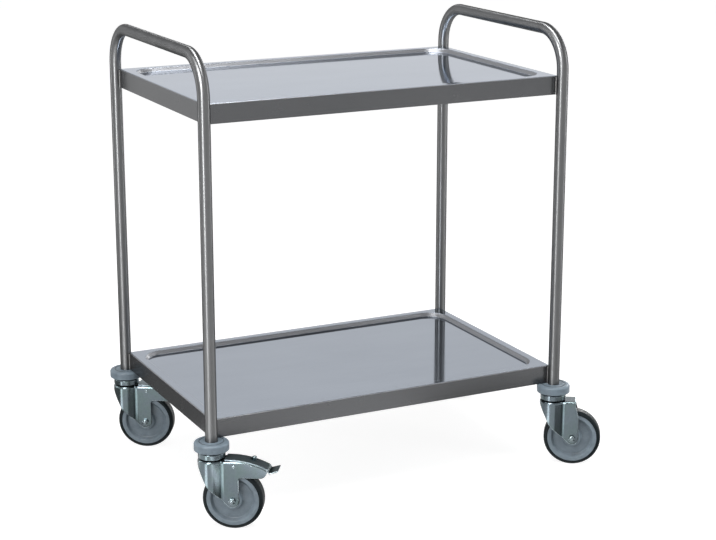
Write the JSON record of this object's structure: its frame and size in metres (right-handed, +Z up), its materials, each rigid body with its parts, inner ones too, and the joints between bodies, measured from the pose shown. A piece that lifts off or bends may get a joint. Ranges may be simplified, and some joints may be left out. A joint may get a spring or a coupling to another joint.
{
  "type": "hostess trolley",
  "caption": "Stainless serving trolley: pressed well shelves between bent-tube end frames with push handles, on swivel casters, braked at one end.",
  "frame": {"origin": "bottom centre of the whole trolley, on the floor that the wheels stand on", "axes": "+Z up, +X along the shelves towards the right-hand end, -Y towards the long side that faces the viewer"},
  "size_m": [0.9412, 0.6456, 0.97],
  "materials": {
    "stainless_tube": "satin ground along the tube",
    "stainless_sheet": "fine brushed along the length",
    "weld_bead": "as welded, brushed over",
    "damping_pad": "matt",
    "bumper_plastic": "fine moulded grain",
    "wheel_plastic": "fine moulded grain",
    "tread_rubber": "matt",
    "zinc_plated_steel": "bright zinc plate",
    "bright_steel": "turned and plated",
    "nylon": "moulded",
    "shoe_rubber": "matt"
  },
  "bodies": {
    "frame": {"left_end_frame": "stainless_tube", "right_end_frame": "stainless_tube", "upper_shelf": "stainless_sheet", "lower_shelf": "stainless_sheet", "upper_damping_pad": "damping_pad", "lower_damping_pad": "damping_pad", "upper_shelf_welds": "weld_bead", "lower_shelf_welds": "weld_bead", "front_left_bumper": "bumper_plastic", "front_left_stem": "bright_steel", "front_left_expander": "nylon", "front_left_race_cover": "zinc_plated_steel", "rear_left_bumper": "bumper_plastic", "rear_left_stem": "bright_steel", "rear_left_expander": "nylon", "rear_left_race_cover": "zinc_plated_steel", "front_right_bumper": "bumper_plastic", "front_right_stem": "bright_steel", "front_right_expander": "nylon", "front_right_race_cover": "zinc_plated_steel", "rear_right_bumper": "bumper_plastic", "rear_right_stem": "bright_steel", "rear_right_expander": "nylon", "rear_right_race_cover": "zinc_plated_steel"},
    "front_left_swivel": {"front_left_ball_ring": "bright_steel", "front_left_fork": "zinc_plated_steel", "front_left_axle_bolt": "bright_steel", "front_left_spacer_sleeve": "bright_steel", "front_left_pedal_pin": "bright_steel", "front_left_pedal_spring": "bright_steel"},
    "front_left_wheel": {"front_left_bearings": "bright_steel", "front_left_wheel_core": "wheel_plastic", "front_left_tyre": "tread_rubber"},
    "front_left_pedal": {"front_left_brake_pedal": "zinc_plated_steel", "front_left_brake_shoe": "shoe_rubber"},
    "rear_left_swivel": {"rear_left_ball_ring": "bright_steel", "rear_left_fork": "zinc_plated_steel", "rear_left_axle_bolt": "bright_steel", "rear_left_spacer_sleeve": "bright_steel", "rear_left_pedal_pin": "bright_steel", "rear_left_pedal_spring": "bright_steel"},
    "rear_left_wheel": {"rear_left_bearings": "bright_steel", "rear_left_wheel_core": "wheel_plastic", "rear_left_tyre": "tread_rubber"},
    "rear_left_pedal": {"rear_left_brake_pedal": "zinc_plated_steel", "rear_left_brake_shoe": "shoe_rubber"},
    "front_right_swivel": {"front_right_ball_ring": "bright_steel", "front_right_fork": "zinc_plated_steel", "front_right_axle_bolt": "bright_steel", "front_right_spacer_sleeve": "bright_steel"},
    "front_right_wheel": {"front_right_bearings": "bright_steel", "front_right_wheel_core": "wheel_plastic", "front_right_tyre": "tread_rubber"},
    "rear_right_swivel": {"rear_right_ball_ring": "bright_steel", "rear_right_fork": "zinc_plated_steel", "rear_right_axle_bolt": "bright_steel", "rear_right_spacer_sleeve": "bright_steel"},
    "rear_right_wheel": {"rear_right_bearings": "bright_steel", "rear_right_wheel_core": "wheel_plastic", "rear_right_tyre": "tread_rubber"}
  },
  "joints": [
    {"name": "front_left_swivel_turn", "type": "hinge", "parent": "frame", "child": "front_left_swivel", "pos_m": [-0.43464, -0.23202, 0.147], "axis": [0, 0, 1], "continuous": true},
    {"name": "front_left_wheel_roll", "type": "hinge", "parent": "front_left_swivel", "child": "front_left_wheel", "pos_m": [-0.39774, -0.25598, 0.0625], "axis": [0.5446, 0.8387, 0], "continuous": true},
    {"name": "front_left_brake_press", "type": "hinge", "parent": "front_left_swivel", "child": "front_left_pedal", "pos_m": [-0.39438, -0.25816, 0.1365], "axis": [0.5446, 0.8387, 0], "range_deg": [0, 8]},
    {"name": "rear_left_swivel_turn", "type": "hinge", "parent": "frame", "child": "rear_left_swivel", "pos_m": [-0.43464, 0.28678, 0.147], "axis": [0, 0, 1], "continuous": true},
    {"name": "rear_left_wheel_roll", "type": "hinge", "parent": "rear_left_swivel", "child": "rear_left_wheel", "pos_m": [-0.39653, 0.26478, 0.0625], "axis": [0.5, 0.866, 0], "continuous": true},
    {"name": "rear_left_brake_press", "type": "hinge", "parent": "rear_left_swivel", "child": "rear_left_pedal", "pos_m": [-0.39307, 0.26278, 0.1365], "axis": [0.5, 0.866, 0], "range_deg": [0, 8]},
    {"name": "front_right_swivel_turn", "type": "hinge", "parent": "frame", "child": "front_right_swivel", "pos_m": [0.37536, -0.23202, 0.147], "axis": [0, 0, 1], "continuous": true},
    {"name": "front_right_wheel_roll", "type": "hinge", "parent": "front_right_swivel", "child": "front_right_wheel", "pos_m": [0.41226, -0.25598, 0.0625], "axis": [0.5446, 0.8387, 0], "continuous": true},
    {"name": "rear_right_swivel_turn", "type": "hinge", "parent": "frame", "child": "rear_right_swivel", "pos_m": [0.37536, 0.28678, 0.147], "axis": [0, 0, 1], "continuous": true},
    {"name": "rear_right_wheel_roll", "type": "hinge", "parent": "rear_right_swivel", "child": "rear_right_wheel", "pos_m": [0.39736, 0.24868, 0.0625], "axis": [0.866, 0.5, 0], "continuous": true}
  ]
}
